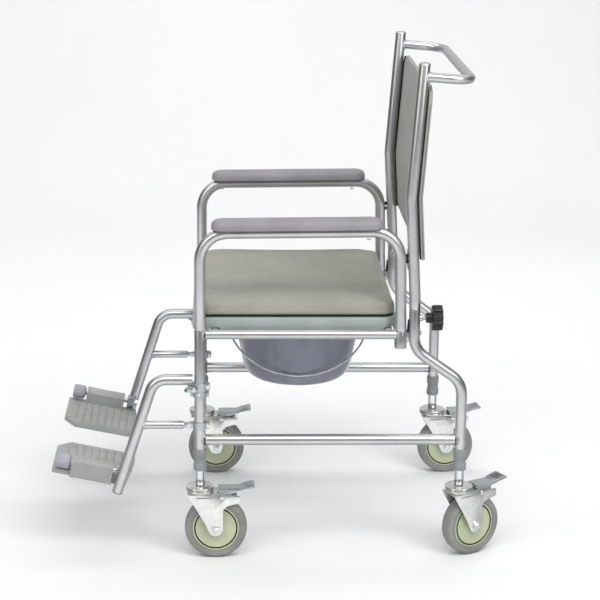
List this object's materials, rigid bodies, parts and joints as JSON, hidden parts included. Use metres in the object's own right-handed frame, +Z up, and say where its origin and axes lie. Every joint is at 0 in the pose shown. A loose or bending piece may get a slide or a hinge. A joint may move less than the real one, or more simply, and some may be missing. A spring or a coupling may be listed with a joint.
{
  "type": "commode chair",
  "caption": "Attendant-pushed commode chair: tube frame on braked castors, padded seat lid over a pail, lift-off arms and back, swing-away footrests.",
  "frame": {"origin": "on the floor under the middle of the whole chair's bounding box", "axes": "+Z up, the sitter faces -Y, the sitter's left is +X"},
  "size_m": [0.5427, 0.9288, 1.0025],
  "materials": {
    "silver_tube": "satin silver lacquer on steel tube",
    "bright_tube": "plain bright steel tube",
    "bright_zinc": "bright zinc plate on pressed steel",
    "dull_zinc": "dull zinc plate on pressed steel",
    "grey_plastic": "matt moulded plastic",
    "footplate_plastic": "fine-textured moulded plastic",
    "lilac_plastic": "matt moulded plastic",
    "tyre_rubber": "grey non-marking rubber",
    "wheel_plastic": "moulded nylon wheel centre",
    "seat_vinyl": "soft vinyl with a fine grain",
    "arm_foam": "skinned polyurethane foam",
    "back_cloth": "coated woven cloth",
    "seat_plastic": "satin blow-moulded plastic",
    "pail_plastic": "glossy moulded plastic",
    "black_plastic": "black moulded plastic"
  },
  "bodies": {
    "frame": {"seat_cross_frame": "silver_tube", "front_leg_left": "silver_tube", "rear_leg_left": "silver_tube", "lower_side_rail_left": "silver_tube", "seat_side_rail_left": "silver_tube", "arm_socket_left": "silver_tube", "hanger_latch_left": "dull_zinc", "front_leg_right": "silver_tube", "rear_leg_right": "silver_tube", "lower_side_rail_right": "silver_tube", "seat_side_rail_right": "silver_tube", "arm_socket_right": "silver_tube", "hanger_latch_right": "dull_zinc", "leg_ferrule_front_left": "grey_plastic", "leg_ferrule_front_right": "grey_plastic", "leg_ferrule_rear_left": "grey_plastic", "leg_ferrule_rear_right": "grey_plastic"},
    "leg_front_left": {"inner_leg_front_left": "bright_tube"},
    "castor_front_left": {"castor_fork_front_left": "bright_zinc"},
    "wheel_front_left": {"castor_tyre_front_left": "tyre_rubber", "castor_hub_front_left": "wheel_plastic"},
    "brake_front_left": {"brake_pedal_front_left": "dull_zinc"},
    "leg_front_right": {"inner_leg_front_right": "bright_tube"},
    "castor_front_right": {"castor_fork_front_right": "bright_zinc"},
    "wheel_front_right": {"castor_tyre_front_right": "tyre_rubber", "castor_hub_front_right": "wheel_plastic"},
    "brake_front_right": {"brake_pedal_front_right": "dull_zinc"},
    "leg_rear_left": {"inner_leg_rear_left": "bright_tube"},
    "castor_rear_left": {"castor_fork_rear_left": "bright_zinc"},
    "wheel_rear_left": {"castor_tyre_rear_left": "tyre_rubber", "castor_hub_rear_left": "wheel_plastic"},
    "brake_rear_left": {"brake_pedal_rear_left": "dull_zinc"},
    "leg_rear_right": {"inner_leg_rear_right": "bright_tube"},
    "castor_rear_right": {"castor_fork_rear_right": "bright_zinc"},
    "wheel_rear_right": {"castor_tyre_rear_right": "tyre_rubber", "castor_hub_rear_right": "wheel_plastic"},
    "brake_rear_right": {"brake_pedal_rear_right": "dull_zinc"},
    "footrest_left": {"footrest_hanger_left": "silver_tube", "footplate_spindle_left": "bright_zinc", "footplate_end_cap_left": "lilac_plastic"},
    "footplate_left": {"footplate_left": "footplate_plastic"},
    "footrest_lever_left": {"hanger_release_lever_left": "dull_zinc"},
    "armrest_left": {"arm_tube_left": "silver_tube", "arm_pad_left": "arm_foam"},
    "knob_left": {"back_knob_left": "black_plastic"},
    "footrest_right": {"footrest_hanger_right": "silver_tube", "footplate_spindle_right": "bright_zinc", "footplate_end_cap_right": "lilac_plastic"},
    "footplate_right": {"footplate_right": "footplate_plastic"},
    "footrest_lever_right": {"hanger_release_lever_right": "dull_zinc"},
    "armrest_right": {"arm_tube_right": "silver_tube", "arm_pad_right": "arm_foam"},
    "knob_right": {"back_knob_right": "black_plastic"},
    "backrest": {"back_frame": "silver_tube", "back_panel": "back_cloth"},
    "commode_seat": {"commode_seat": "seat_plastic"},
    "cushion": {"seat_board": "black_plastic", "seat_cushion": "seat_vinyl"},
    "pail": {"pail": "pail_plastic"},
    "bail": {"pail_bail": "bright_zinc"}
  },
  "joints": [
    {"name": "leg_height_front_left", "type": "slide", "parent": "frame", "child": "leg_front_left", "axis": [0, 0, -1], "range_m": [0, 0.05]},
    {"name": "castor_swivel_front_left", "type": "hinge", "parent": "leg_front_left", "child": "castor_front_left", "pos_m": [0.24, -0.1654, 0.145], "axis": [0, 0, 1], "continuous": true},
    {"name": "wheel_spin_front_left", "type": "hinge", "parent": "castor_front_left", "child": "wheel_front_left", "pos_m": [0.24, -0.1338, 0.0625], "axis": [1, 0, 0], "continuous": true},
    {"name": "brake_press_front_left", "type": "hinge", "parent": "castor_front_left", "child": "brake_front_left", "pos_m": [0.24, -0.1214, 0.131], "axis": [-1, 0, 0], "range_deg": [0, 10]},
    {"name": "leg_height_front_right", "type": "slide", "parent": "frame", "child": "leg_front_right", "axis": [0, 0, -1], "range_m": [0, 0.05]},
    {"name": "castor_swivel_front_right", "type": "hinge", "parent": "leg_front_right", "child": "castor_front_right", "pos_m": [-0.24, -0.1654, 0.145], "axis": [0, 0, 1], "continuous": true},
    {"name": "wheel_spin_front_right", "type": "hinge", "parent": "castor_front_right", "child": "wheel_front_right", "pos_m": [-0.24, -0.1338, 0.0625], "axis": [1, 0, 0], "continuous": true},
    {"name": "brake_press_front_right", "type": "hinge", "parent": "castor_front_right", "child": "brake_front_right", "pos_m": [-0.24, -0.1214, 0.131], "axis": [-1, 0, 0], "range_deg": [0, 10]},
    {"name": "leg_height_rear_left", "type": "slide", "parent": "frame", "child": "leg_rear_left", "axis": [0, 0, -1], "range_m": [0, 0.05]},
    {"name": "castor_swivel_rear_left", "type": "hinge", "parent": "leg_rear_left", "child": "castor_rear_left", "pos_m": [0.24, 0.3536, 0.145], "axis": [0, 0, 1], "continuous": true},
    {"name": "wheel_spin_rear_left", "type": "hinge", "parent": "castor_rear_left", "child": "wheel_rear_left", "pos_m": [0.2242, 0.38097, 0.0625], "axis": [0.866, 0.5, 0], "continuous": true},
    {"name": "brake_press_rear_left", "type": "hinge", "parent": "castor_rear_left", "child": "brake_rear_left", "pos_m": [0.218, 0.39171, 0.131], "axis": [-0.866, -0.5, 0], "range_deg": [0, 10]},
    {"name": "leg_height_rear_right", "type": "slide", "parent": "frame", "child": "leg_rear_right", "axis": [0, 0, -1], "range_m": [0, 0.05]},
    {"name": "castor_swivel_rear_right", "type": "hinge", "parent": "leg_rear_right", "child": "castor_rear_right", "pos_m": [-0.24, 0.3536, 0.145], "axis": [0, 0, 1], "continuous": true},
    {"name": "wheel_spin_rear_right", "type": "hinge", "parent": "castor_rear_right", "child": "wheel_rear_right", "pos_m": [-0.24385, 0.38496, 0.0625], "axis": [0.9925, 0.1219, 0], "continuous": true},
    {"name": "brake_press_rear_right", "type": "hinge", "parent": "castor_rear_right", "child": "brake_rear_right", "pos_m": [-0.24536, 0.39727, 0.131], "axis": [-0.9925, -0.1219, 0], "range_deg": [0, 10]},
    {"name": "footrest_swing_left", "type": "hinge", "parent": "frame", "child": "footrest_left", "pos_m": [0.24, -0.1654, 0.32], "axis": [0, 0, 1], "range_deg": [0, 95]},
    {"name": "footplate_flip_left", "type": "hinge", "parent": "footrest_left", "child": "footplate_left", "pos_m": [0.222, -0.3334, 0.174], "axis": [0, 0.9799, -0.1994], "range_deg": [0, 90]},
    {"name": "footrest_release_left", "type": "hinge", "parent": "footrest_left", "child": "footrest_lever_left", "pos_m": [0.258, -0.1774, 0.355], "axis": [1, 0, 0], "range_deg": [0, 20], "stiffness_Nm_per_rad": 0.4, "springref_deg": -5.73},
    {"name": "armrest_lift_left", "type": "slide", "parent": "frame", "child": "armrest_left", "axis": [0, 0, 1], "range_m": [0, 0.035]},
    {"name": "knob_turn_left", "type": "hinge", "parent": "frame", "child": "knob_left", "pos_m": [0.24, 0.2866, 0.498], "axis": [0, 1, 0], "range_deg": [0, 720]},
    {"name": "footrest_swing_right", "type": "hinge", "parent": "frame", "child": "footrest_right", "pos_m": [-0.24, -0.1654, 0.32], "axis": [0, 0, -1], "range_deg": [0, 95]},
    {"name": "footplate_flip_right", "type": "hinge", "parent": "footrest_right", "child": "footplate_right", "pos_m": [-0.222, -0.3334, 0.174], "axis": [0, -0.9799, 0.1994], "range_deg": [0, 90]},
    {"name": "footrest_release_right", "type": "hinge", "parent": "footrest_right", "child": "footrest_lever_right", "pos_m": [-0.258, -0.1774, 0.355], "axis": [1, 0, 0], "range_deg": [0, 20], "stiffness_Nm_per_rad": 0.4, "springref_deg": -5.73},
    {"name": "armrest_lift_right", "type": "slide", "parent": "frame", "child": "armrest_right", "axis": [0, 0, 1], "range_m": [0, 0.035]},
    {"name": "knob_turn_right", "type": "hinge", "parent": "frame", "child": "knob_right", "pos_m": [-0.24, 0.2866, 0.498], "axis": [0, 1, 0], "range_deg": [0, 720]},
    {"name": "backrest_lift", "type": "slide", "parent": "frame", "child": "backrest", "axis": [0, 0, 1], "range_m": [0, 0.06]},
    {"name": "seat_lift", "type": "slide", "parent": "frame", "child": "commode_seat", "axis": [0, 0, 1], "range_m": [0, 0.06]},
    {"name": "cushion_lift", "type": "slide", "parent": "commode_seat", "child": "cushion", "axis": [0, 0, 1], "range_m": [0, 0.06]},
    {"name": "pail_slide", "type": "slide", "parent": "frame", "child": "pail", "axis": [0, 1, 0], "range_m": [0, 0.38]},
    {"name": "bail_swing", "type": "hinge", "parent": "pail", "child": "bail", "pos_m": [0, 0.0366, 0.437], "axis": [0, -1, 0], "range_deg": [0, 28]}
  ]
}
